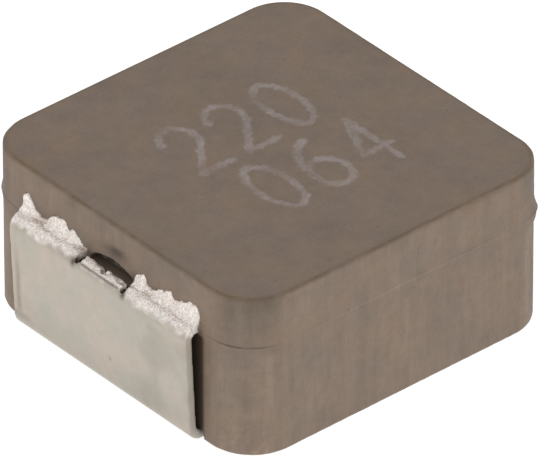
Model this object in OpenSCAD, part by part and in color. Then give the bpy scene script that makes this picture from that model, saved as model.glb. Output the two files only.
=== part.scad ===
// Moulded power inductor for surface mounting.
// A square block of pressed iron powder encloses a flat-wire winding. Each end of the
// winding is welded to a wide tinned copper terminal that leaves the block at the die's
// parting line, folds down over the side face and folds again under the block as a foot.
//
// X runs through the two terminals, Y across them and Z up from the board.
// The feet rest on z = 0 and the origin is at the middle of the footprint.
// All sizes are in millimetres.

/* [Block] */
// Length of the block along X, between the two faces that carry terminals
body_x = 6.5; // [6:0.1:8]
// Width of the block along Y
body_y = 6.5; // [6.2:0.1:8]
// Height of the block's top above the board
part_h = 3; // [2.9:0.1:4]
// Radius of the four upright corners
corner_r = 0.86; // [0.4:0.02:1.2]
// Bevel round the block's top face
top_bevel = 0.05; // [0.02:0.01:0.15]
// Bevel round the block's underside
under_bevel = 0.01; // [0.01:0.01:0.1]
// Height of the parting line above the board
parting_z = 2.05; // [1.9:0.05:2.3]
// Height of the thin rib of flash on the parting line
flash_h = 0.05; // [0.02:0.01:0.1]
// How far the rib of flash stands out from the side faces
flash_out = 0.02; // [0.01:0.01:0.05]

/* [Terminals] */
// Width of each terminal
term_w = 4.3; // [3.6:0.05:4.6]
// Thickness of the tinned copper sheet
sheet_t = 0.16; // [0.12:0.01:0.2]
// Gap between the block's side face and the top of the terminal's upright plate
plate_gap = 0.18; // [0.15:0.01:0.3]
// Angle at which the upright plate leans in towards its foot
plate_lean = 2.7; // [0:0.1:3.5]
// Inside radius of the fold over the side face
top_fold_r = 0.08; // [0.04:0.01:0.12]
// Inside radius of the fold under the block
foot_fold_r = 0.14; // [0.1:0.01:0.25]
// How far each foot reaches in under the block
foot_len = 1.6; // [1:0.1:2]
// How far the feet stand below the block's underside
foot_proud = 0.01; // [0.01:0.01:0.08]
// Radius of the foot's two free corners
foot_corner_r = 0.2; // [0.1:0.05:0.4]

/* [Relief window in the fold] */
// Width of the window cut through the top fold
window_w = 1.22; // [0.8:0.02:1.6]
// How far round the fold the window's straight lower edge lies, in degrees up from level
window_angle = 41; // [30:1:60]
// Radius of the window's two inner corners
window_r = 0.15; // [0.05:0.01:0.25]
// How far the window's arch rises up the block's face above the terminal
arch_rise = 0.1; // [0.1:0.01:0.3]
// How deep the window and its arched pocket run into the block
arch_depth = 0.14; // [0.05:0.01:0.2]
// Width of the tongue that stays in the window
tongue_w = 1; // [0.6:0.05:1.15]
// How far the press has sunk the tongue below the fold's surface
tongue_sink = 0.02; // [0.01:0.01:0.04]
// Thickness of the tongue, which the press has thinned
tongue_t = 0.1; // [0.06:0.01:0.12]

/* [Weld lug inside the block] */
// Width of the tab and lug that reach in to the winding
tab_w = 1.6; // [1:0.1:2]
// How far the terminal keeps its full width inside the block
root_len = 0.3; // [0.2:0.05:0.4]
// Inside radius of the lug's fold
lug_fold_r = 0.06; // [0.04:0.01:0.1]

/* [Winding] */
// Radius of the round core inside the winding
core_r = 1.15; // [1:0.05:1.3]
// Thickness of the flat wire, across the turns
wire_t = 0.2; // [0.12:0.01:0.2]
// Width of the flat wire, along the winding's axis
wire_w = 0.8; // [0.6:0.05:0.85]
// Rounding of the flat wire's edges
wire_edge = 0.04; // [0.02:0.01:0.05]
// Whole turns in each of the two layers, besides the half turn that joins them
layer_turns = 4; // [2:1:4]
// Gap between neighbouring turns
turn_gap = 0.015; // [0.01:0.005:0.03]
// Gap between the two layers
layer_gap = 0.04; // [0.03:0.01:0.08]
// Straight length of each wire end along its weld lug
lead_len = 0.75; // [0.4:0.05:1]
// Steps in one turn of the winding
turn_steps = 32; // [24:2:48]

/* [Fits] */
// Gap between the pressed powder and the parts that it encloses
fit_gap = 0.02; // [0.01:0.005:0.04]
// Gap between each foot and the pocket in the underside that it lies in
pocket_gap = 0.06; // [0.04:0.01:0.2]
// Gap between each wire end and its lug
weld_gap = 0.01; // [0.01:0.005:0.02]

/* [Hidden] */
$fn = 64;
face_x = body_x / 2;
// Folds and flat stretches of the sheet run this far into each other, so that they fuse
join = 0.002;

// Upper and lower faces of the sheet where it leaves the block
sheet_z0 = parting_z;
sheet_z1 = parting_z + sheet_t;

// Side view of the terminal: u runs outwards from the block's face, z upwards
top_fold_u = plate_gap - top_fold_r * cos(plate_lean);
top_fold_z = sheet_z0 - top_fold_r;
foot_fold_z = sheet_t + foot_fold_r;
plate_len = (top_fold_z - foot_fold_z - (top_fold_r - foot_fold_r) * sin(plate_lean)) / cos(plate_lean);
foot_fold_u = top_fold_u + (top_fold_r - foot_fold_r) * cos(plate_lean) - plate_len * sin(plate_lean);
outer_u = top_fold_u + top_fold_r + sheet_t;

// The window's straight lower edge runs along the top fold
lip_u = top_fold_u + (top_fold_r + sheet_t) * cos(window_angle);

// Winding: the two layers of turns, then the middle line of the wire
turn_pitch = wire_t + turn_gap;
cross_dip = 0.75 * wire_t;
inner_r = core_r + fit_gap + cross_dip + wire_t / 2;
outer_r = inner_r + layer_turns * turn_pitch;
winding_h = 2 * wire_w + layer_gap;
winding_z = (part_h + foot_proud) / 2;
layer_dz = (wire_w + layer_gap) / 2;
lug_x = outer_r + wire_t / 2 + weld_gap;
lug_z0 = winding_z - winding_h / 2 + 0.1;

// ---------------------------------------------------------------- shared shapes

// Radius of the circle whose segment has this chord and this height
function segment_r(chord, height) = (chord * chord / 4 + height * height) / (2 * height);

// Upright block with round corners, bevelled by b0 round its underside and b1 round its top
module rounded_block(x, y, z0, z1, r, b0, b1) {
    h = z1 - z0;
    function side(w) = [[-w / 2, b0], [-w / 2 + b0, 0], [w / 2 - b0, 0], [w / 2, b0],
                        [w / 2, h - b1], [w / 2 - b1, h], [-w / 2 + b1, h], [-w / 2, h - b1]];
    translate([0, 0, z0]) {
        rotate([90, 0, 0]) linear_extrude(y - 2 * r, center = true) polygon(side(x));
        rotate([90, 0, 90]) linear_extrude(x - 2 * r, center = true) polygon(side(y));
        for (sx = [-1, 1], sy = [-1, 1]) translate([sx * (x / 2 - r), sy * (y / 2 - r), 0])
            rotate_extrude() polygon([[0, 0], [r - b0, 0], [r, b0], [r, h - b1], [r - b1, h], [0, h]]);
    }
}

// Sheet bent round an axis along Y, from one angle to another, counted from X up to Z
module fold(r, w, t, from, to) {
    rotate([90, 0, 0]) rotate([0, 0, from]) rotate_extrude(angle = to - from)
        translate([r, -w / 2]) square([t, w]);
}

// Terminals are drawn with u along X from the block's face, then set on either face
module at_start() { rotate([0, 0, 180]) translate([face_x, 0, 0]) children(); }
module at_end() { translate([face_x, 0, 0]) children(); }

// ---------------------------------------------------------------- terminals

// Round-topped segment on an upright plane: chord on z = 0, extruded along X
module upright_segment(chord, height, depth) {
    r = segment_r(chord, height);
    rotate([90, 0, 90]) linear_extrude(depth) intersection() {
        translate([0, height - r]) circle(r);
        translate([-chord / 2, 0]) square([chord, height + 1]);
    }
}

// Window through the ledge and the upper half of the fold, round where it ends inside the block
module window_cut() {
    depth = arch_depth + lip_u;
    translate([-arch_depth, 0, sheet_z0 - 0.12]) linear_extrude(1) {
        translate([window_r, -window_w / 2]) square([depth - window_r, window_w]);
        translate([0, window_r - window_w / 2]) square([window_r + join, window_w - 2 * window_r]);
        for (s = [-1, 1]) translate([window_r, s * (window_w / 2 - window_r)]) circle(window_r);
    }
}

// Tongue left in the window: the fold's own surface, torn off the ledge and pressed in a little
module tongue() {
    r = top_fold_r + sheet_t - tongue_sink - tongue_t;
    translate([top_fold_u, 0, top_fold_z]) fold(r, tongue_w, tongue_t, window_angle - 15, 88);
}

// Ragged tin that the plating left on the block above the ledge. Each lobe gives the end of
// the terminal that it is counted from, how far in from that end it lies, its radius and
// how far its middle rises above the ledge.
tin_lobes = [[-1, 0.08, 0.08, 0.22], [-1, 0.82, 0.2, 0.04], [-1, 1.13, 0.11, 0],
             [1, 1.45, 0.12, 0.07], [1, 1.05, 0.1, 0], [1, 0.81, 0.12, 0.04], [1, 0.29, 0.25, 0]];
tin_t = 0.05;

module tin_flash() {
    intersection() {
        for (lobe = tin_lobes) translate([0, lobe[0] * (term_w / 2 - lobe[1]), sheet_z1]) {
            translate([0, 0, lobe[3]]) rotate([0, 90, 0]) cylinder(r = lobe[2], h = tin_t);
            translate([0, -lobe[2], -join]) cube([tin_t, 2 * lobe[2], lobe[3] + join]);
        }
        translate([-1, -term_w, sheet_z1 - join]) cube([2, 2 * term_w, 1]);
    }
}

// Weld lug: the tab's end folded down beside the winding
module weld_lug() {
    lug_u = lug_x - face_x;
    fold_u = lug_u + sheet_t + lug_fold_r;
    translate([fold_u - join, -tab_w / 2, sheet_z0]) cube([2 * join - root_len - fold_u, tab_w, sheet_t]);
    translate([fold_u, 0, sheet_z0 - lug_fold_r]) fold(lug_fold_r, tab_w, sheet_t, 90, 180);
    translate([lug_u, -tab_w / 2, lug_z0]) cube([sheet_t, tab_w, sheet_z0 - lug_fold_r - lug_z0 + join]);
}

module foot() {
    reach = foot_len + foot_fold_u + join;
    linear_extrude(sheet_t) difference() {
        translate([-foot_len, -term_w / 2]) square([reach, term_w]);
        for (s = [-1, 1]) difference() {
            translate([-foot_len - 1, s > 0 ? term_w / 2 - foot_corner_r : -term_w / 2 - 1])
                square([1 + foot_corner_r, 1 + foot_corner_r]);
            translate([-foot_len + foot_corner_r, s * (term_w / 2 - foot_corner_r)]) circle(foot_corner_r);
            translate([-foot_len, -term_w / 2 + foot_corner_r])
                square([foot_corner_r, term_w - 2 * foot_corner_r]);
        }
    }
}

module terminal() {
    difference() {
        union() {
            translate([-root_len, -term_w / 2, sheet_z0]) cube([root_len + top_fold_u + join, term_w, sheet_t]);
            translate([top_fold_u, 0, top_fold_z]) fold(top_fold_r, term_w, sheet_t, -plate_lean, 90);
            tin_flash();
        }
        window_cut();
    }
    translate([top_fold_u, 0, top_fold_z]) rotate([0, plate_lean, 0])
        translate([top_fold_r, -term_w / 2, -plate_len - join])
            cube([sheet_t, term_w, plate_len + 2 * join]);
    translate([foot_fold_u, 0, foot_fold_z]) fold(foot_fold_r, term_w, sheet_t, -90, -plate_lean);
    foot();
    tongue();
    weld_lug();
}

module terminal_start() { color([0.76, 0.73, 0.68]) at_start() terminal(); }
module terminal_end() { color([0.76, 0.73, 0.68]) at_end() terminal(); }

// ---------------------------------------------------------------- winding

// The wire runs in along the start lug, spirals inwards in the upper layer, dips below the
// turns while it drops through half a turn, spirals outwards in the lower layer and leaves
// along the end lug. The angle grows all the way, from 180 at the start lug.
layer_angle = 360 * layer_turns;
cross_angle = 180;
step_angle = 360 / turn_steps;
turn_count = round((2 * layer_angle + cross_angle) / step_angle);

// Share of the drop that is done, level at both ends so that no two turns meet
function drop(s) = let (q = min(1, max(0, (s - 0.12) / 0.76))) q * q * (3 - 2 * q);

// Middle line of the wire after an angle a of winding: radius and height
function wire_r(a) =
    a <= layer_angle ? outer_r - turn_pitch * a / 360 :
    a >= layer_angle + cross_angle ? inner_r + turn_pitch * (a - layer_angle - cross_angle) / 360 :
    inner_r - cross_dip * sin(180 * (a - layer_angle) / cross_angle);
function wire_z(a) = winding_z + layer_dz * (1 - 2 * drop(max(0, min(1, (a - layer_angle) / cross_angle))));

// Each station is [x, y, z of the middle line, direction angle of the wire's thickness]
winding_end = turn_count * step_angle;
stations = concat(
    [[-outer_r, lead_len, wire_z(0), 180]],
    [for (i = [0 : turn_count]) let (a = i * step_angle, q = 180 + a)
        [wire_r(a) * cos(q), wire_r(a) * sin(q), wire_z(a), q]],
    [[outer_r, lead_len, wire_z(winding_end), 180 + winding_end]]);

// Section of the wire with its edges rounded: across the thickness, then along the axis
section = let (t = wire_t / 2, w = wire_w / 2, e = wire_edge)
    [[t, -w + e], [t, w - e], [t - e, w], [-t + e, w], [-t, w - e], [-t, -w + e], [-t + e, -w], [t - e, -w]];

module winding() {
    sides = len(section);
    rings = len(stations);
    points = [for (s = stations, p = section)
        [s[0] + p[0] * cos(s[3]), s[1] + p[0] * sin(s[3]), s[2] + p[1]]];
    skin = [for (i = [0 : rings - 2], k = [0 : sides - 1]) let (n = (k + 1) % sides)
        [i * sides + k, i * sides + n, (i + 1) * sides + n, (i + 1) * sides + k]];
    first = [[for (k = [0 : sides - 1]) sides - 1 - k]];
    last = [[for (k = [0 : sides - 1]) (rings - 1) * sides + k]];
    color([0.72, 0.36, 0.16]) polyhedron(points, concat(first, skin, last), convexity = 10);
}

// ---------------------------------------------------------------- block

// Ring round the core that the winding fills
module winding_room() {
    r0 = core_r;
    r1 = outer_r + wire_t / 2 + fit_gap;
    h = winding_h + 2 * fit_gap;
    translate([0, 0, winding_z - h / 2]) rotate_extrude() translate([r0, 0]) square([r1 - r0, h]);
}

// Room for one terminal's root, tab and lug, drawn from the block's face
module terminal_room() {
    lug_u = lug_x - face_x;
    g = fit_gap;
    translate([-root_len - g, -term_w / 2 - g, sheet_z0 - g])
        cube([root_len + 1, term_w + 2 * g, sheet_t + 2 * g]);
    translate([lug_u - g, -tab_w / 2 - g, sheet_z0 - g]) cube([-lug_u, tab_w + 2 * g, sheet_t + 2 * g]);
    translate([lug_u - wire_t - 2 * weld_gap - g, -tab_w / 2 - g, lug_z0 - g])
        cube([sheet_t + wire_t + lug_fold_r + 2 * weld_gap + 2 * g, tab_w + 2 * g, sheet_z1 - lug_z0 + 2 * g]);
}

// Room for the wire's straight end beside the lug
module lead_room(level) {
    h = wire_w + 2 * fit_gap;
    translate([lug_x - face_x - wire_t - 3 * weld_gap, -0.2, level - h / 2])
        cube([wire_t + 4 * weld_gap, lead_len + 0.2 + fit_gap, h]);
}

// Pocket that lets the foot sit nearly flush with the underside, its mouth rounded to clear
// the fold of the sheet
module foot_pocket() {
    w = term_w + 2 * pocket_gap;
    translate([-foot_len - pocket_gap, -w / 2, -1])
        cube([foot_len + pocket_gap + 1, w, 1 + sheet_t + fit_gap]);
    translate([foot_fold_u, w / 2, foot_fold_z]) rotate([90, 0, 0]) linear_extrude(w) difference() {
        translate([0, -foot_fold_z]) square([1, foot_fold_z]);
        circle(foot_fold_r - fit_gap);
    }
}

// Arched pocket in the face above the window
module arch_pocket() {
    translate([-arch_depth, 0, sheet_z0 - fit_gap])
        upright_segment(window_w * 0.9, sheet_t + arch_rise + fit_gap, arch_depth + 1);
}

module body() {
    color([0.48, 0.43, 0.38]) difference() {
        union() {
            rounded_block(body_x, body_y, foot_proud, part_h, corner_r, under_bevel, top_bevel);
            translate([0, 0, parting_z - flash_h / 2])
                rounded_block(body_x + 2 * flash_out, body_y + 2 * flash_out, 0, flash_h,
                              corner_r + flash_out, flash_out * 0.9, flash_out * 0.9);
        }
        winding_room();
        at_start() mirror([0, 1, 0]) lead_room(winding_z + layer_dz);
        at_end() lead_room(winding_z - layer_dz);
        at_start() { terminal_room(); foot_pocket(); arch_pocket(); }
        at_end() { terminal_room(); foot_pocket(); arch_pocket(); }
    }
}

body();
winding();
terminal_start();
terminal_end();
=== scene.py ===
"""Moulded power inductor: the looks of the pressed block, its tinned terminals and a plain studio.

Lengths are in millimetres, as in the part's source, and become metres where meshes are made.
"""
import math

import bmesh
import bpy
import numpy as np
from mathutils import Matrix, Vector


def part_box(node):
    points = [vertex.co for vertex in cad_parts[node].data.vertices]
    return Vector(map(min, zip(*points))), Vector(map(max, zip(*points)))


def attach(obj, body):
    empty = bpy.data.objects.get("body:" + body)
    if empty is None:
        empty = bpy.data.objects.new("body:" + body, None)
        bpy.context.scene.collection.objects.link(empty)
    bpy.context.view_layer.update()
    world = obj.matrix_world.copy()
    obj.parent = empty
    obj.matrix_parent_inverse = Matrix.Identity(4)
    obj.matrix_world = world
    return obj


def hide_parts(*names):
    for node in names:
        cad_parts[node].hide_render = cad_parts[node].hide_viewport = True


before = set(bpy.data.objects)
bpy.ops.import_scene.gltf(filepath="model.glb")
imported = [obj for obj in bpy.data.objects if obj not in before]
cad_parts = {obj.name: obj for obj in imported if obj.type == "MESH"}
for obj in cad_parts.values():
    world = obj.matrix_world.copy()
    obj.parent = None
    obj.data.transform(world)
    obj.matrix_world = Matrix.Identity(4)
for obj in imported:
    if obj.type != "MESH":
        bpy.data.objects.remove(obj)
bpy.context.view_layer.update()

MM = 0.001

# ---------------------------------------------------------------- sizes shared with the CAD

flash_out = 0.02        # how far the rib on the parting line stands out
corner_r = 0.86         # radius of the block's upright corners
top_bevel = 0.05
under_bevel = 0.01
parting_z = 2.05
sheet_t = 0.16          # thickness of the terminals' sheet
plate_gap = 0.18        # gap between the block and the top of each plate
plate_lean = 2.7        # degrees
top_fold_r = 0.08       # inside radius of the upper fold
window_angle = 41       # the window's lower edge, in degrees round the upper fold
window_w = 1.22
foot_len = 1.6
pocket_gap = 0.06       # room round each foot in the block's underside
fit_gap = 0.02
arch_rise = 0.1         # top of the arched pocket over the ledge
arch_depth = 0.14

block_low, block_high = [np.array(corner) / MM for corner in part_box("body")]
half_x = block_high[0] - flash_out
half_y = block_high[1] - flash_out
top_z = block_high[2]
under_z = block_low[2]
term_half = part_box("terminal_start")[1][1] / MM
ledge_z = parting_z + sheet_t
fold_u = plate_gap - top_fold_r * math.cos(math.radians(plate_lean))
fold_z = parting_z - top_fold_r
fold_outer = top_fold_r + sheet_t
lip_u = fold_u + fold_outer * math.cos(math.radians(window_angle))
lip_z = fold_z + fold_outer * math.sin(math.radians(window_angle))


# ---------------------------------------------------------------- shared helpers

def smooth(low, high, value):
    """0 below low, 1 above high, with a soft rise between."""
    q = np.clip((value - low) / (high - low), 0, 1)
    return q * q * (3 - 2 * q)


def bump(value, middle, width):
    """A soft hill of height 1 at middle, about as wide as width each way."""
    return np.exp(-(((value - middle) / width) ** 2))


def grain(points, cell, seed):
    """Smooth noise from -1 to 1 whose hills are about one cell across. A cell may differ in X, Y and Z."""
    place = np.asarray(points, float) / np.asarray(cell, float)
    base = np.floor(place).astype(np.int64)
    part = place - base
    part = part * part * (3 - 2 * part)
    total = np.zeros(len(place))
    for corner in range(8):
        step = np.array([corner & 1, corner >> 1 & 1, corner >> 2 & 1])
        cellno = base + step
        code = cellno[:, 0] * 374761393 + cellno[:, 1] * 668265263
        code = code + cellno[:, 2] * 1440662683 + seed * 1274126177
        code = (code ^ code >> 13) * 1103515245 & 0xFFFFFFFF
        height = ((code ^ code >> 16) & 0xFFFF) / 32767.5 - 1
        weight = np.where(step, part, 1 - part).prod(axis=1)
        total += height * weight
    return total


def mesh_object(name, points, faces, marks=None, smooth_faces=True):
    """An object from points in millimetres, with one number per point for each named mark."""
    mesh = bpy.data.meshes.new(name)
    mesh.from_pydata((np.asarray(points) * MM).tolist(), [], faces)
    for mark, values in (marks or {}).items():
        layer = mesh.attributes.new(mark, "FLOAT", "POINT")
        layer.data.foreach_set("value", np.asarray(values, np.float32))
    mesh.polygons.foreach_set("use_smooth", [smooth_faces] * len(mesh.polygons))
    mesh.update()
    piece = bpy.data.objects.new(name, mesh)
    bpy.context.scene.collection.objects.link(piece)
    return piece


def strip_faces(rows, columns, closed=True):
    """Faces of a grid of points stored row by row. A closed grid joins its last column to its first."""
    faces = []
    for row in range(rows - 1):
        for column in range(columns if closed else columns - 1):
            following = (column + 1) % columns
            faces.append((row * columns + column, row * columns + following,
                          (row + 1) * columns + following, (row + 1) * columns + column))
    return faces


# ---------------------------------------------------------------- materials

class Nodes:
    """Short calls for building one material's nodes."""

    def __init__(self, name):
        self.material = bpy.data.materials.new(name)
        self.material.use_nodes = True
        self.tree = self.material.node_tree
        self.shader = self.tree.nodes["Principled BSDF"]

    def add(self, kind, **settings):
        node = self.tree.nodes.new(kind)
        for key, value in settings.items():
            setattr(node, key, value)
        return node

    def join(self, source, target):
        self.tree.links.new(source, target)

    def put(self, node, socket, value):
        if isinstance(value, bpy.types.NodeSocket):
            self.join(value, node.inputs[socket])
        else:
            node.inputs[socket].default_value = value

    def math(self, operation, first, second=0.0, clamp=False):
        node = self.add("ShaderNodeMath", operation=operation, use_clamp=clamp)
        self.put(node, 0, first)
        self.put(node, 1, second)
        return node.outputs[0]

    def place(self, stretch=(1, 1, 1)):
        """Object coordinates in millimetres, stretched."""
        source = self.add("ShaderNodeTexCoord")
        mapping = self.add("ShaderNodeMapping")
        self.join(source.outputs["Object"], mapping.inputs["Vector"])
        mapping.inputs["Scale"].default_value = [axis / MM for axis in stretch]
        return mapping.outputs["Vector"]

    def noise(self, per_mm, detail=3.0, rough=0.55, stretch=(1, 1, 1)):
        node = self.add("ShaderNodeTexNoise")
        self.join(self.place(stretch), node.inputs["Vector"])
        node.inputs["Scale"].default_value = per_mm
        node.inputs["Detail"].default_value = detail
        node.inputs["Roughness"].default_value = rough
        return node.outputs["Fac"]

    def specks(self, per_mm, size):
        """1 inside scattered specks and 0 between them."""
        node = self.add("ShaderNodeTexVoronoi", feature="F1")
        self.join(self.place(), node.inputs["Vector"])
        node.inputs["Scale"].default_value = per_mm
        return self.remap(node.outputs["Distance"], size, size * 0.5, 0, 1)

    def remap(self, value, low, high, new_low, new_high):
        node = self.add("ShaderNodeMapRange", clamp=True)
        self.put(node, "Value", value)
        node.inputs["From Min"].default_value = low
        node.inputs["From Max"].default_value = high
        node.inputs["To Min"].default_value = new_low
        node.inputs["To Max"].default_value = new_high
        return node.outputs["Result"]

    def mark(self, name):
        return self.add("ShaderNodeAttribute", attribute_name=name).outputs["Fac"]

    def mix(self, share, first, second, blend="MIX"):
        node = self.add("ShaderNodeMix", data_type="RGBA", blend_type=blend)
        for socket, value in ((0, share), (6, first), (7, second)):
            if isinstance(value, bpy.types.NodeSocket):
                self.join(value, node.inputs[socket])
            else:
                node.inputs[socket].default_value = (*value, 1) if isinstance(value, tuple) else value
        return node.outputs[2]

    def scaled(self, colour, factor):
        node = self.add("ShaderNodeVectorMath", operation="SCALE")
        self.join(colour, node.inputs[0])
        self.put(node, "Scale", factor)
        return node.outputs[0]

    def relief(self, height, depth, normal=None):
        """Bump of the given depth in millimetres."""
        node = self.add("ShaderNodeBump")
        node.inputs["Strength"].default_value = 1.0
        node.inputs["Distance"].default_value = depth * MM
        self.join(height, node.inputs["Height"])
        if normal is not None:
            self.join(normal, node.inputs["Normal"])
        return node.outputs["Normal"]


def powder_material():
    """Pressed iron powder in resin: matt brown grey with grain, die-drawn streaks and soft blotches."""
    m = Nodes("pressed_powder")
    flat = m.mark("flatness")
    blotch = m.noise(1.6, 4, 0.6)
    patch = m.noise(5.5, 3, 0.6)
    fine = m.noise(26, 3, 0.7)
    streak = m.noise(5.0, 3, 0.6, stretch=(1, 1, 0.16))
    side = m.mix(m.remap(blotch, 0.35, 0.65, 0, 1), (0.241, 0.174, 0.126), (0.205, 0.158, 0.122))
    side = m.mix(m.remap(streak, 0.35, 0.7, 0, 0.55), side, (0.262, 0.203, 0.157))
    top = m.mix(m.remap(blotch, 0.35, 0.65, 0, 1), (0.226, 0.166, 0.122), (0.203, 0.157, 0.126))
    colour = m.mix(flat, side, top)
    colour = m.scaled(colour, m.remap(patch, 0.25, 0.75, 0.93, 1.07))
    colour = m.scaled(colour, m.remap(fine, 0.2, 0.8, 0.9, 1.1))
    scratch = m.noise(16, 3, 0.7, stretch=(1, 1, 0.1))
    colour = m.scaled(colour, m.remap(scratch, 0.3, 0.7, 0.96, 1.04))
    colour = m.mix(m.math("MULTIPLY", m.specks(3.1, 0.1), 0.3), colour, (0.09, 0.07, 0.055))
    mark = m.math("MULTIPLY", m.mark("scribe"), m.remap(m.noise(20, 2, 0.6), 0.3, 0.7, 0.55, 1.0))
    colour = m.mix(mark, colour, (0.345, 0.300, 0.292))
    # lighter and darker: the block's own patches and streaks, plus a painted highlight on the seam and
    # painted sheen and shade on the corners
    colour = m.scaled(colour, m.math("ADD", m.mark("tone"), 1.0))
    # a darker brown line along the top edge
    colour = m.mix(m.mark("dark_rim"), colour, (0.135, 0.088, 0.045))
    # darker with grime and smears, and with painted shade behind the plates, in the pockets and under the
    # seam
    colour = m.mix(m.mark("grime_and_shade"), colour, (0.036, 0.021, 0.012))
    m.join(colour, m.shader.inputs["Base Color"])
    m.join(m.remap(fine, 0.2, 0.8, 0.62, 0.78), m.shader.inputs["Roughness"])
    m.shader.inputs["Specular IOR Level"].default_value = 0.35
    coarse = m.relief(m.noise(11, 3, 0.65), 0.004)
    m.join(m.relief(fine, 0.004, coarse), m.shader.inputs["Normal"])
    return m.material


def tin_material():
    """Tin plating: satin on the rolled sheet, bright and granular where it froze along the fold, with
    painted glints and painted shade in its grains.
    """
    m = Nodes("tinned_sheet")
    rough = m.mark("rough")
    cloud = m.noise(1.3, 4, 0.6)
    patch = m.noise(6, 3, 0.6)
    fine = m.noise(30, 3, 0.65)
    grains = m.noise(24, 2, 0.75)
    sheet = m.mix(m.remap(cloud, 0.38, 0.62, 0, 1), (0.525, 0.459, 0.392), (0.468, 0.438, 0.382))
    sheet = m.mix(m.remap(patch, 0.5, 0.75, 0, 0.3), sheet, (0.45, 0.42, 0.33))
    # light and dark grains of the frozen tin: partly its own mottling, partly painted glints and painted
    # shade in its pits
    frozen = m.mix(m.remap(grains, 0.36, 0.62, 0, 1), (0.78, 0.67, 0.60), (1.0, 0.97, 0.94))
    colour = m.mix(rough, sheet, frozen)
    colour = m.scaled(colour, m.remap(fine, 0.2, 0.8, 0.96, 1.03))
    # brown stains on the sheet, and painted shade at the tongue's lip and in the window
    colour = m.mix(m.mark("stain_and_shade"), colour, (0.16, 0.115, 0.07))
    # lighter or darker, with painted shade at the lip and the window's feet
    colour = m.scaled(colour, m.math("ADD", m.mark("tone"), 1.0))
    m.join(colour, m.shader.inputs["Base Color"])
    m.join(m.remap(m.mark("cut_edge"), 0, 1, 0.75, 0.2), m.shader.inputs["Metallic"])
    satin = m.remap(patch, 0.3, 0.7, 0.42, 0.52)
    glints = m.remap(grains, 0.4, 0.6, 0.42, 0.2)
    gloss = m.add("ShaderNodeMix", data_type="FLOAT")
    for socket, value in ((0, rough), (2, satin), (3, glints)):
        m.join(value, gloss.inputs[socket])
    m.join(gloss.outputs[0], m.shader.inputs["Roughness"])
    ripple = m.relief(m.math("MULTIPLY", grains, rough), 0.022)
    m.join(m.relief(fine, 0.0012, ripple), m.shader.inputs["Normal"])
    return m.material


def enamel_material():
    """Enamelled copper wire."""
    m = Nodes("enamelled_copper")
    shade = m.noise(3, 3, 0.5)
    m.join(m.mix(shade, (0.50, 0.17, 0.05), (0.36, 0.10, 0.03)), m.shader.inputs["Base Color"])
    m.shader.inputs["Metallic"].default_value = 0.8
    m.join(m.remap(m.noise(14, 2, 0.5), 0.3, 0.7, 0.22, 0.34), m.shader.inputs["Roughness"])
    m.shader.inputs["Coat Weight"].default_value = 0.6
    m.shader.inputs["Coat Roughness"].default_value = 0.12
    m.join(m.relief(shade, 0.004), m.shader.inputs["Normal"])
    return m.material


powder = powder_material()
tin = tin_material()
enamel = enamel_material()


# ---------------------------------------------------------------- block

corner_mid = half_x - corner_r * (1 - math.sqrt(0.5))
block_step = 0.042      # spacing of the points round the block's sides
arch_zone = 0.66        # half the width of the finer mesh round each arch
arch_finer = 2.6        # how many times finer the points lie there
marks_zone = 2.1        # half the width of the level area that the numbers lie on
top_grain = 0.004       # height of the grain on the top face
low_rows_z = 0.5        # rows below this height close up over the foot pockets
# crumbs of flash: place, size and how far they stand out
flash_crumbs = ((corner_mid, -corner_mid, parting_z + 0.03, 0.11, 0.05),
                (corner_mid, -corner_mid, parting_z - 0.12, 0.09, 0.03),
                (-corner_mid, corner_mid, parting_z + 0.02, 0.1, 0.03))


def perimeter(spacing):
    """Points round the block's upright sides with their outward directions."""
    places, outward = [], []
    for quarter in range(4):
        turn = np.array([[math.cos(quarter * math.pi / 2), -math.sin(quarter * math.pi / 2)],
                         [math.sin(quarter * math.pi / 2), math.cos(quarter * math.pi / 2)]])
        reach, across = (half_x, half_y) if quarter % 2 == 0 else (half_y, half_x)
        flat_half = across - corner_r
        stops = np.linspace(-flat_half, flat_half, round(2 * flat_half / spacing) + 1)
        if quarter % 2 == 0:
            fine = np.linspace(-arch_zone, arch_zone, round(arch_finer * 2 * arch_zone / spacing) + 1)
            stops = np.concatenate([stops[stops < -arch_zone - 0.01], fine, stops[stops > arch_zone + 0.01]])
        for y in stops:
            places.append(turn @ (reach, y))
            outward.append(turn @ (1, 0))
        steps = round(corner_r * math.pi / 2 / spacing)
        for a in np.linspace(0, math.pi / 2, steps + 1)[1:-1]:
            ray = np.array([math.cos(a), math.sin(a)])
            places.append(turn @ (np.array([reach, across]) - corner_r + corner_r * ray))
            outward.append(turn @ ray)
    return np.array(places), np.array(outward)


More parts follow.
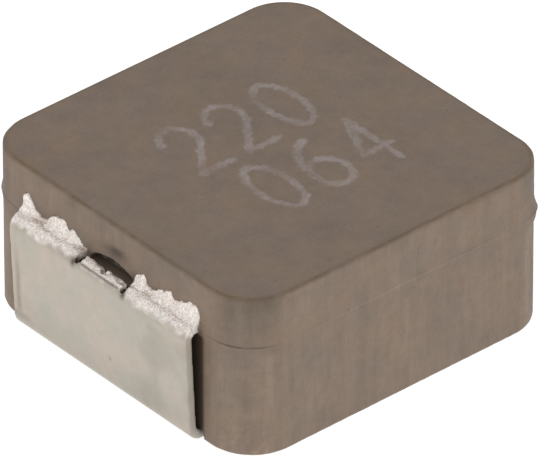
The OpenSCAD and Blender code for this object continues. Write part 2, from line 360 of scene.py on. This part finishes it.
def block_relief(x, y, z, nx, ny):
    """How far the block's side stands out at a point, how much lighter it is there with painted highlight
    and shade, and how darkened by grime and painted shade.
    """
    points = np.column_stack([x, y, z])
    wave = grain(points, (0.5, 0.5, 5), 3)
    facing_start = smooth(0.6, 0.95, -nx)
    facing_end = smooth(0.6, 0.95, nx)
    face = facing_start + facing_end
    front = smooth(0.6, 0.95, np.abs(ny))
    corner = smooth(0.05, 0.4, np.abs(nx * ny))
    turned = np.degrees(np.arctan2(np.abs(ny), np.abs(nx)))
    # y counted so that both terminals look alike when the part is turned by 180 degrees
    along = np.where(nx < 0, y, -y)

    seam_z = parting_z + 0.02 + 0.012 * grain(points, (1.3, 1.3, 9), 17)
    out = bump(z, seam_z, 0.014) * 0.012 * (0.6 + 0.6 * wave)
    out += 0.004 * grain(points, (0.1, 0.1, 0.8), 5) + 0.002 * grain(points, 0.07, 6)

    # crumbs of flash left on the parting line at the corners
    for cx, cy, cz, size, height in flash_crumbs:
        reach = np.hypot(x - cx, y - cy)
        out += height * np.exp(-(reach / (2 * size)) ** 2) * bump(z, cz, size)

    # lump of powder squeezed out beside each ledge
    lump = bump(along, -term_half - 0.05, 0.06) * bump(z, parting_z + 0.1, 0.08)
    out += face * 0.11 * lump * (1 + 0.5 * grain(points, 0.05, 7))

    # arched pocket above the window and the soft hollow over it
    arch_half = window_w * 0.47
    height = np.maximum(z - parting_z, 0) / (ledge_z + arch_rise - parting_z)
    edge = np.hypot(along / arch_half, height) + 0.04 * grain(points, 0.16, 11)
    arch = (1 - smooth(0.88, 1.0, edge)) * smooth(parting_z - 0.08, parting_z, z)
    hollow = bump(along, -0.06, 0.24) * bump(z, ledge_z + 0.24 - 0.12 * along, 0.11)
    out -= face * (arch_depth * arch + 0.045 * hollow)

    # light and dark: a painted highlight along the seam ridge, streaks drawn by the die, ripples and pale
    # spots low on the corners, painted sheen and painted shade by facing round the lower corners, and
    # painted shade on the corners above the seam, deeper towards the top edge
    dashes = smooth(-0.3, 0.4, grain(points, (0.18, 0.18, 1), 12))
    seam = bump(z, seam_z, 0.014)
    # a painted highlight along the seam ridge on the front and back faces, strongest on the -Y face
    shine = bump(x, -0.1, 1.7) * (ny < 0) + 0.3 * smooth(-0.2, 0.5, grain(points, (1.5, 1.5, 9), 18))
    tone = seam * front * (1 - corner) * 0.2 * shine
    streaks = grain(points, (0.09, 0.09, 1.6), 13) + 0.7 * grain(points, (0.3, 0.3, 2.2), 14)
    tone += 0.035 * streaks * (0.6 + 0.9 * corner)
    tone += 0.05 * grain(points, (0.9, 0.9, 1.2), 9) + 0.035 * grain(points, (0.16, 0.16, 0.3), 10)
    below = 1 - smooth(1.8, 2.0, z)
    tone += 0.06 * corner * below * grain(points, (0.3, 0.3, 0.055), 19)
    # painted sheen and painted shade by facing round each corner below the seam: lighter at 68 degrees,
    # darker at 44
    tone += below * (0.1 * bump(turned, 68, 6) - 0.1 * bump(turned, 44, 11))
    # painted shade on the corners above the seam, deeper towards the top edge
    tone -= corner * (1 - below) * (0.13 + 0.13 * smooth(parting_z, top_z, z))
    pale = smooth(0.25, 0.7, grain(points, 0.07, 15)) * corner * (1 - smooth(0.25, 0.7, z))
    tone += 0.2 * pale

    # grime and painted shade: soot and painted shade behind the plates, painted shade in the arched pocket,
    # the hollow over it and one foot of the window, a dark patch beside each ledge, painted shade under the
    # seam ridge, darker smears below the top edge and brown smears at the corners
    # painted shade, with some soot, on the face behind each plate
    behind = (1 - smooth(term_half + 0.02, term_half + 0.1, np.abs(along))) * (1 - smooth(1.95, 2.02, z))
    patchy = 0.85 + 0.2 * grain(points, 0.1, 20)
    # painted shade in the arched pocket, in the hollow over it and at one foot of the window
    pocket_shade = np.maximum(0.6 * arch, 0.8 * hollow * patchy)
    pocket_shade = np.maximum(pocket_shade, 0.6 * face * bump(along, -0.58, 0.1) * bump(z, ledge_z - 0.02, 0.12) * patchy)
    grime_and_shade = np.maximum(face * pocket_shade, 0.92 * face * behind)
    beside_ledge = bump(along, -term_half - 0.06, 0.05) * bump(z, parting_z + 0.07, 0.08)
    grime_and_shade = np.maximum(grime_and_shade, 0.75 * face * beside_ledge)
    # painted shade under the seam ridge at the corners and on the faces that carry the terminals
    grime_and_shade = np.maximum(grime_and_shade, 0.5 * seam * (corner + 0.6 * (1 - front)) * (0.5 + 0.5 * dashes))
    below_edge = smooth(top_z - 0.42, top_z - 0.06, z) * smooth(-0.2, 0.7, grain(points, (0.3, 0.3, 0.4), 8))
    grime_and_shade = np.maximum(grime_and_shade, 0.34 * below_edge * (0.25 + 0.75 * corner))
    right_corner = corner * (x > 0) * (y < 0)
    spots = smooth(0.45, 0.75, grain(points, (0.07, 0.07, 0.14), 16)) * bump(z, 1.25, 0.5)
    grime_and_shade = np.maximum(grime_and_shade, 0.5 * spots * right_corner)
    return out, tone, np.clip(grime_and_shade, 0, 1)


def top_tone(points):
    """How much lighter the top face is at a point."""
    return 0.035 * grain(points, 0.8, 35) + 0.03 * grain(points, 0.25, 36)


def side_rows():
    """Rows of points up the block's sides: shares of the lowest stretch, then heights."""
    rows = [("share", q) for q in (0, 0.05, 0.12, 0.25, 0.4, 0.55, 0.7, 0.85)]
    stretches = ((low_rows_z, parting_z - 0.15, 22), (parting_z - 0.12, parting_z + 0.12, 21),
                 (parting_z + 0.135, parting_z + 0.42, 19), (parting_z + 0.45, top_z - top_bevel - 0.02, 10))
    for start, end, steps in stretches:
        rows += [("height", z) for z in np.linspace(start, end, steps)]
    return rows


def block_piece():
    """The whole block as one closed skin of rings, from the middle of its underside to that of its top."""
    places, outward = perimeter(block_step)
    count = len(places)
    px, py = places.T
    nx, ny = outward.T
    reach = half_x - foot_len - pocket_gap
    width = term_half + pocket_gap
    ceiling = sheet_t + fit_gap
    in_pocket = (np.abs(px) > reach) & (np.abs(py) < width)
    foot_z = np.where(in_pocket, ceiling, under_z)

    rows, flats, tones, grime_and_shade_rows, dark_rims = [], [], [], [], []

    def ring(x, y, z, flat, tone, grime_and_shade=0.0, dark_rim=0.0):
        rows.append(np.column_stack([x, y, np.broadcast_to(z, x.shape)]))
        flats.append(np.broadcast_to(flat, x.shape))
        tones.append(np.broadcast_to(tone, x.shape))
        grime_and_shade_rows.append(np.broadcast_to(grime_and_shade, x.shape))
        dark_rims.append(np.broadcast_to(dark_rim, x.shape))

    # underside, from its middle outwards: plain, then the foot pockets, then plain again
    with np.errstate(divide="ignore"):
        enter = np.where(np.abs(py) > width, 1 - width / np.abs(py), 0)
        leave = np.where(np.abs(px) > reach, 1 - reach / np.maximum(np.abs(px), 1e-9), 0)
    crosses = leave > enter
    enter = np.where(crosses, enter, 0.25)
    leave = np.where(crosses, leave, 0.3)
    inner_z = np.where(crosses, ceiling, under_z)

    def under(share, z):
        x, y = px * (1 - share), py * (1 - share)
        points = np.column_stack([x, y, np.zeros(count)])
        ring(x, y, z + 0.003 * grain(points, 0.12, 21), 0.6, 0.06 * grain(points, 0.5, 22))

    for share in np.linspace(0.985, 0.02, 10):
        under(leave + (1 - leave) * share, under_z)
    under(leave + 0.002, under_z)
    for share in np.linspace(0, 1, 6):
        under(leave + (enter - leave) * share, inner_z)
    under(np.maximum(enter - 0.002, 0.004), np.where(in_pocket, ceiling, under_z))
    under(np.maximum(enter * 0.5, 0.003), np.where(in_pocket, ceiling, under_z))

    # sides, from the underside up; the lowest rows close up over the pockets
    for kind, value in side_rows():
        z = foot_z + (low_rows_z - foot_z) * value if kind == "share" else np.full(count, value)
        inset = np.clip(under_bevel - (z - foot_z), 0, under_bevel)
        out, tone, grime_and_shade = block_relief(px, py, z, nx, ny)
        ring(px + nx * (out - inset), py + ny * (out - inset), z, 0, tone, grime_and_shade)

    # top edge and top face
    for share in (0.0, 0.35, 0.7, 1.0):
        z = np.full(count, top_z - top_bevel * (1 - share))
        points = np.column_stack([px, py, z])
        out, tone, grime_and_shade = block_relief(px, py, z, nx, ny)
        chip = 0.018 * smooth(0.25, 0.8, grain(points, 0.3, 31))
        inset = top_bevel * share + chip * (1 - share)
        broken = 0.5 + 0.5 * smooth(-0.5, 0.3, grain(points, 0.16, 32))
        # a darker brown line along the top edge
        dark_rim = 0.75 * broken * bump(share, 0.7, 0.4)
        ring(px + nx * (out * (1 - share) - inset), py + ny * (out * (1 - share) - inset),
             z, share, tone * (1 - share), grime_and_shade * (1 - share), dark_rim)
    for share in np.concatenate([[0.004, 0.012, 0.03], np.linspace(0.06, 0.985, 24)]):
        x = px * (1 - share) - nx * top_bevel * (1 - share)
        y = py * (1 - share) - ny * top_bevel * (1 - share)
        points = np.column_stack([x, y, np.zeros(count)])
        rough = smooth(marks_zone, marks_zone + 0.2, np.maximum(np.abs(x), np.abs(y)))
        height = 0.003 * grain(points, 0.09, 33) + 0.003 * grain(points, 0.4, 34)
        edge = 1 - smooth(0.0, 0.016, share)
        level = top_z - top_grain + rough * np.minimum(height, top_grain)
        ring(x, y, level, 1, top_tone(points), 0.0, 0.4 * edge)

    points = np.vstack(rows)
    faces = strip_faces(len(rows), count)
    last = (len(rows) - 1) * count
    faces.append(tuple(range(count))[::-1])
    faces.append(tuple(last + k for k in range(count)))
    piece = mesh_object("pressed_block", points, faces,
                        {"flatness": np.concatenate(flats), "tone": np.concatenate(tones),
                         "grime_and_shade": np.concatenate(grime_and_shade_rows), "dark_rim": np.concatenate(dark_rims)})
    piece.data.materials.append(powder)
    return piece


block = block_piece()
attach(block, "root")
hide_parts("body")


# ---------------------------------------------------------------- terminals

voxel = 0.024           # grain of the fused tin, in millimetres

# Upper edge of the ragged tin on the block's face: place across the terminal from its
# left end as seen from outside, and rise above the ledge. The window lies between the two runs.
ragged_left = ((-0.03, 0.05), (0.02, 0.22), (0.1, 0.33), (0.14, 0.3), (0.2, 0.2), (0.3, 0.07),
               (0.4, 0.03), (0.55, 0.06), (0.68, 0.14), (0.8, 0.24), (0.92, 0.25), (1.03, 0.21),
               (1.09, 0.12), (1.15, 0.18), (1.22, 0.19), (1.3, 0.12), (1.4, 0.06), (1.5, -0.03))
ragged_right = ((2.66, -0.03), (2.72, 0.06), (2.83, 0.18), (2.92, 0.24), (2.98, 0.18), (3.02, 0.05),
                (3.13, 0.05), (3.25, 0.1), (3.35, 0.17), (3.45, 0.18), (3.6, 0.245), (3.66, 0.15),
                (3.76, 0.18), (3.9, 0.23), (4.05, 0.295), (4.18, 0.3), (4.25, 0.25), (4.3, 0.1))


def ragged_film(run, face_x):
    """Tin that crept from the ledge on to the block's start face: thin at its crest, thick at its foot."""
    stations, rise = np.array(run).T
    columns = round((stations[-1] - stations[0]) / 0.02)
    across = np.linspace(stations[0], stations[-1], columns)
    points = np.column_stack([across, np.zeros(columns), np.zeros(columns)])
    crest = np.interp(across, stations, rise)
    crest += 0.022 * grain(points, 0.07, 41) + 0.012 * grain(points, 0.035, 42)
    y = term_half - across
    foot = ledge_z - 0.08
    levels = 9
    front, back = [], []
    for share in np.linspace(0, 1, levels):
        z = foot * (1 - share) + (ledge_z + crest) * share
        over = np.clip((z - ledge_z) / np.maximum(crest, 0.04), 0, 1)
        thick = 0.02 + 0.1 * (1 - over) ** 1.6 * smooth(-0.02, 0.1, crest)
        front.append(np.column_stack([np.full(columns, -face_x) - thick, y, z]))
        back.append(np.column_stack([np.full(columns, -face_x) + 0.03, y, z]))
    return np.vstack(front + back[::-1]), strip_grid_solid(2 * levels, columns)


def strip_grid_solid(rows, columns):
    """Faces of a closed sheet whose rows run once round its section."""
    faces = []
    for row in range(rows):
        below, above = row * columns, (row + 1) % rows * columns
        for column in range(columns - 1):
            faces.append((below + column, above + column, above + column + 1, below + column + 1))
    faces.append(tuple(row * columns for row in range(rows))[::-1])
    faces.append(tuple(row * columns + columns - 1 for row in range(rows)))
    return faces


def fused(name, parts, size):
    """The parts, in millimetres, grown together into one skin of small faces."""
    mesh = bpy.data.meshes.new(name)
    points, faces = [], []
    for part_points, part_faces in parts:
        shift = len(points)
        points += np.asarray(part_points).tolist()
        faces += [tuple(shift + k for k in face) for face in part_faces]
    mesh.from_pydata(points, [], faces)
    body = bmesh.new()
    body.from_mesh(mesh)
    bmesh.ops.recalc_face_normals(body, faces=body.faces)
    body.to_mesh(mesh)
    body.free()
    rough = bpy.data.objects.new(name, mesh)
    bpy.context.scene.collection.objects.link(rough)
    grow = rough.modifiers.new("fuse", "REMESH")
    grow.mode = "VOXEL"
    grow.voxel_size = size
    ready = rough.evaluated_get(bpy.context.evaluated_depsgraph_get()).to_mesh()
    count = len(ready.vertices)
    skin = np.empty(count * 3)
    ready.vertices.foreach_get("co", skin)
    facing = np.empty(count * 3)
    ready.vertices.foreach_get("normal", facing)
    faces = [tuple(face.vertices) for face in ready.polygons]
    bpy.data.objects.remove(rough)
    return skin.reshape(-1, 3), facing.reshape(-1, 3), faces


def terminal_piece(name, node, turned):
    """One terminal, worked out on the start side and turned by 180 degrees for the end side."""
    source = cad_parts[node].data
    points = np.empty(len(source.vertices) * 3)
    source.vertices.foreach_get("co", points)
    points = points.reshape(-1, 3) / MM
    if turned:
        points = points * (-1, -1, 1)
    parts = [(points, [tuple(face.vertices) for face in source.polygons]),
             ragged_film(ragged_left, half_x), ragged_film(ragged_right, half_x)]
    skin, facing, faces = fused(name, parts, voxel)
    x, y, z = skin.T
    u = -half_x - x
    seed = 60 + (7 if turned else 0)

    # how far round the fold each point lies, and where the tin froze rough
    turn = np.degrees(np.arctan2(z - fold_z, u - fold_u))
    limit = 26 + 16 * grain(skin, 0.5, seed) + 12 * grain(skin, 0.1, seed + 1)
    outside = smooth(-0.03, 0.0, u)
    rough = smooth(limit - 14, limit + 22, np.where(u > fold_u, turn, 90)) * outside * smooth(1.98, 2.06, z)
    in_window = (np.abs(y) < window_w / 2 - 0.02) * outside * smooth(2.0, 2.06, z)
    lump = 0.55 * grain(skin, 0.11, seed + 2) + 0.45 * grain(skin, 0.05, seed + 3)
    skin = skin + facing * (rough * 0.015 * lump)[:, None]
    skin = skin + facing * (0.0016 * grain(skin, (0.3, 0.5, 0.3), seed + 4))[:, None]

    # the tongue's torn upper edge, with a nick near its middle
    torn = in_window * smooth(50, 80, turn)
    nick = 0.11 * bump(y, 0.02, 0.035) + 0.03 * grain(skin, 0.08, seed + 6)
    nick = nick + 0.05 * smooth(0.36, 0.5, np.abs(y - 0.05))
    skin[:, 2] -= torn * np.maximum(nick, 0)

    # brown line inside the left edge and a dull spot, stains on the sheet; painted shade along the tongue's
    # lip, at the window's torn feet and deep in the window
    upright = smooth(0.1, 0.2, u) * (1 - smooth(fold_z, fold_z + 0.12, z))
    drift = 0.02 * grain(skin, (1, 1, 0.4), seed + 7)
    edge_line = bump(y + drift, term_half - 0.15, 0.055) * smooth(0.3, 0.5, z)
    edge_line = edge_line * (1 - 0.8 * smooth(0.9, 1.8, z))
    sweep = bump(z, 0.34, 0.06) * smooth(term_half - 0.55, term_half - 0.2, y)
    spot = np.exp(-((y + 0.25) ** 2 + (z - 0.66) ** 2) / 0.03 ** 2)
    stain_and_shade = upright * np.maximum(np.maximum(0.42 * edge_line, 0.3 * sweep), 0.5 * spot)
    stain_and_shade += 0.16 * smooth(0.1, 0.7, grain(skin, 0.45, seed + 5)) * smooth(-0.6, -1.2, y) * upright
    # lip, tear and cut: painted shade along the tongue's lip, at the window's feet and deep in the window
    lip = bump(np.hypot(u - lip_u, z - lip_z), 0, 0.02) * (1 - smooth(0.42, 0.5, np.abs(y)))
    reach = np.abs(y) - window_w / 2
    tear = np.exp(-((reach / 0.05) ** 2)) * bump(z, lip_z - 0.03, 0.07) * smooth(0.15, 0.22, u)
    cut = in_window * smooth(0.1, 0.06, u)
    stain_and_shade = np.maximum(stain_and_shade, 0.85 * np.maximum(np.maximum(lip, tear), cut))
    # painted shade at the lip and the window's feet; the plate a little darker towards its foot
    tone = -0.3 * np.maximum(lip, tear) - 0.08 * upright * (1 - smooth(0.3, 1.0, z))
    cut_edge = smooth(0.5, 0.9, np.abs(facing[:, 1])) * smooth(0.0, 0.06, u)

    if turned:
        skin = skin * (-1, -1, 1)
    piece = mesh_object(name, skin, faces, {"rough": rough, "stain_and_shade": np.clip(stain_and_shade, 0, 0.9), "tone": tone,
                                            "cut_edge": cut_edge})
    piece.data.materials.append(tin)
    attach(piece, "root")
    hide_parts(node)
    return piece


terminal_piece("tinned_terminal_start", "terminal_start", False)
terminal_piece("tinned_terminal_end", "terminal_end", True)


# ---------------------------------------------------------------- winding

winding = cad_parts["winding"]
winding.data.materials.clear()
winding.data.materials.append(enamel)


# ---------------------------------------------------------------- scribed numbers

digit_h = 1.33          # height of each figure
digit_w = 0.62
stroke_w = 0.15
digit_rows = (("220", -1.25, 0.13), ("064", -0.93, -1.54))
digit_pitch = 0.97


def arc(cx, cy, rx, ry, start, end, steps=14):
    """Points along part of an ellipse, from one angle to another in degrees."""
    angles = np.radians(np.linspace(start, end, steps))
    return [(cx + rx * math.cos(a), cy + ry * math.sin(a)) for a in angles]


def figure(digit):
    """Middle lines of a plain figure in a box one wide and one high."""
    if digit == "0":
        return [arc(0.5, 0.5, 0.5, 0.5, 90, 450, 30)]
    if digit == "2":
        return [arc(0.5, 0.72, 0.5, 0.28, 170, -40) + [(0.0, 0.0), (1.0, 0.0)]]
    if digit == "4":
        return [[(0.72, 0.0), (0.72, 1.0), (0.0, 0.3), (1.0, 0.3)]]
    if digit == "6":
        return [arc(1.0, 0.3, 1.0, 0.72, 100, 180, 10) + arc(0.5, 0.3, 0.5, 0.3, 180, 540, 24)]
    raise ValueError(digit)


def distance_to(line, spots):
    """Distance from each spot to a bent line."""
    nearest = np.full(len(spots), np.inf)
    for first, second in zip(line[:-1], line[1:]):
        way = second - first
        share = np.clip((spots - first) @ way / max(way @ way, 1e-9), 0, 1)
        nearest = np.minimum(nearest, np.hypot(*(spots - first - share[:, None] * way).T))
    return nearest


def numbers_piece():
    """Skin of fine cells over the figures, paler where the marking laser melted the powder."""
    cell = 0.018
    reach = stroke_w * 1.1
    points, faces, marks = [], [], []
    for text, left, base in digit_rows:
        for place, digit in enumerate(text):
            low = np.array([left + place * digit_pitch, base])
            lines = [np.array(line) * (digit_w, digit_h) + low for line in figure(digit)]
            across = np.arange(low[0] - reach, low[0] + digit_w + reach, cell)
            along = np.arange(low[1] - reach, low[1] + digit_h + reach, cell)
            grid = np.stack(np.meshgrid(across, along), axis=-1).reshape(-1, 2)
            away = np.min([distance_to(line, grid) for line in lines], axis=0)
            spots = np.column_stack([grid, np.full(len(grid), top_z - top_grain)])
            away = away + 0.035 * grain(spots, 0.07, 51)
            strength = smooth(stroke_w * 0.6, stroke_w * 0.25, away)
            strength *= 0.6 + 0.35 * grain(spots, 0.25, 52) + 0.35 * grain(spots, 0.055, 53)
            spots[:, 2] += 0.0004 + 0.0012 * np.clip(strength, 0, 1)
            keep = (away < reach).reshape(len(along), len(across))
            first = len(points)
            points += spots.tolist()
            marks += np.clip(strength, 0, 1).tolist()
            count = len(across)
            for row, column in np.argwhere(keep[:-1, :-1] & keep[1:, 1:] & keep[1:, :-1] & keep[:-1, 1:]):
                corner = first + row * count + column
                faces.append((corner, corner + 1, corner + count + 1, corner + count))
    used = sorted({k for face in faces for k in face})
    new = {k: n for n, k in enumerate(used)}
    points = np.array(points)[used]
    faces = [tuple(new[k] for k in face) for face in faces]
    flat = np.column_stack([points[:, :2], np.zeros(len(points))])
    piece = mesh_object("scribed_numbers", points, faces,
                        {"flatness": np.ones(len(points)), "tone": top_tone(flat),
                         "scribe": np.array(marks)[used]})
    piece.data.materials.append(powder)
    return piece


numbers = numbers_piece()
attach(numbers, "root")


# ---------------------------------------------------------------- studio

def floor_piece():
    """Plain pale floor under the part, bright enough to leave no hard shadow."""
    m = Nodes("pale_floor")
    m.shader.inputs["Base Color"].default_value = (0.35, 0.35, 0.35, 1)
    m.shader.inputs["Roughness"].default_value = 0.9
    m.shader.inputs["Specular IOR Level"].default_value = 0.1
    m.shader.inputs["Emission Color"].default_value = (1, 1, 1, 1)
    m.shader.inputs["Emission Strength"].default_value = 0.85
    size = 400
    corners = [(-size, -size, 0), (size, -size, 0), (size, size, 0), (-size, size, 0)]
    piece = mesh_object("studio_floor", corners, [(0, 1, 2, 3)], smooth_faces=False)
    piece.data.materials.append(m.material)


def light(name, azimuth, elevation, distance, size, power):
    """A square soft light aimed at the part. Distances in millimetres, power in milliwatts."""
    lamp = bpy.data.lights.new(name, "AREA")
    lamp.size = size * MM
    lamp.energy = power * 0.001
    a, e = math.radians(azimuth), math.radians(elevation)
    way = Vector((math.sin(a) * math.cos(e), -math.cos(a) * math.cos(e), math.sin(e)))
    piece = bpy.data.objects.new(name, lamp)
    piece.location = way * distance * MM + Vector((0, 0, 1.5 * MM))
    piece.rotation_euler = way.to_track_quat("Z", "Y").to_euler()
    bpy.context.scene.collection.objects.link(piece)


def camera(azimuth, elevation, roll, distance, shift_right, shift_up, lens):
    """A camera that looks at the part from far off, turned by roll, its aim shifted off the origin."""
    a, e, t = (math.radians(v) for v in (azimuth, elevation, roll))
    back = Vector((math.sin(a) * math.cos(e), -math.cos(a) * math.cos(e), math.sin(e)))
    level = Vector((math.cos(a), math.sin(a), 0))
    upright = back.cross(level)
    right = math.cos(t) * level + math.sin(t) * upright
    up = math.cos(t) * upright - math.sin(t) * level
    lens_data = bpy.data.cameras.new("camera")
    lens_data.lens = lens
    lens_data.sensor_width = 36
    lens_data.clip_start = 0.01
    piece = bpy.data.objects.new("camera", lens_data)
    place = back * distance + right * shift_right + up * shift_up
    turn = Matrix((right, up, back)).transposed()
    piece.matrix_world = Matrix.Translation(place * MM) @ turn.to_4x4()
    bpy.context.scene.collection.objects.link(piece)
    bpy.context.scene.camera = piece


floor_piece()
camera(azimuth=-40.584, elevation=34.618, roll=-0.137, distance=240.36,
       shift_right=0.0069, shift_up=1.1965, lens=1003.8)
light("key_right", azimuth=12, elevation=28, distance=120, size=110, power=9)
light("fill_left", azimuth=-80, elevation=35, distance=120, size=110, power=7)
light("top", azimuth=-40, elevation=80, distance=140, size=90, power=6)
light("back", azimuth=-150, elevation=42, distance=120, size=50, power=4)

world = bpy.data.worlds.new("studio")
world.use_nodes = True
world.node_tree.nodes["Background"].inputs["Color"].default_value = (1.0, 0.99, 0.98, 1)
world.node_tree.nodes["Background"].inputs["Strength"].default_value = 0.72
bpy.context.scene.world = world
bpy.context.scene.view_settings.view_transform = "Standard"
